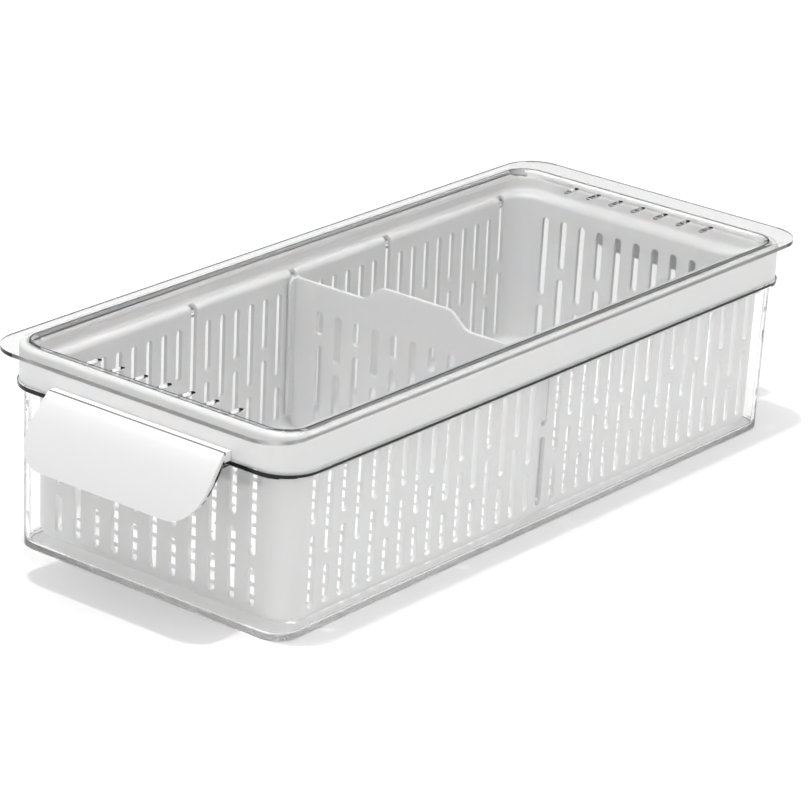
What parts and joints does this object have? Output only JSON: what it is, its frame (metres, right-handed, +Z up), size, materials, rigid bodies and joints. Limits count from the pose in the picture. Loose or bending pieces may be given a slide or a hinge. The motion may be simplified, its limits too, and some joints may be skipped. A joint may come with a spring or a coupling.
{
  "type": "produce storage container",
  "caption": "Long clear refrigerator produce bin with a white slotted strainer basket, lift-out divider, clear vented lid and a curved pull grip at each end.",
  "frame": {"origin": "centre of the tub's footprint, on the surface it stands on", "axes": "+X across the width, +Y along the length from the front grip to the rear grip, +Z up"},
  "size_m": [0.1748, 0.4374, 0.0995],
  "materials": {
    "clear_plastic": "clear, polished",
    "grip_plastic": "smooth white",
    "basket_plastic": "satin white"
  },
  "bodies": {
    "tub": {"outer_bin": "clear_plastic", "front_grip_cover": "grip_plastic", "rear_grip_cover": "grip_plastic"},
    "basket": {"strainer_basket": "basket_plastic"},
    "partition": {"divider": "basket_plastic"},
    "cover": {"lid": "clear_plastic"}
  },
  "joints": [
    {"name": "basket_lift", "type": "slide", "parent": "tub", "child": "basket", "axis": [0, 0, 1], "range_m": [0, 0.1]},
    {"name": "lid_lift", "type": "slide", "parent": "basket", "child": "cover", "axis": [0, 0, 1], "range_m": [0, 0.12]},
    {"name": "divider_lift", "type": "slide", "parent": "basket", "child": "partition", "axis": [0, 0, 1], "range_m": [0, 0.096]}
  ],
  "couplings": [
    {"joint": "divider_lift", "follows": "lid_lift", "ratio": 0.8}
  ]
}
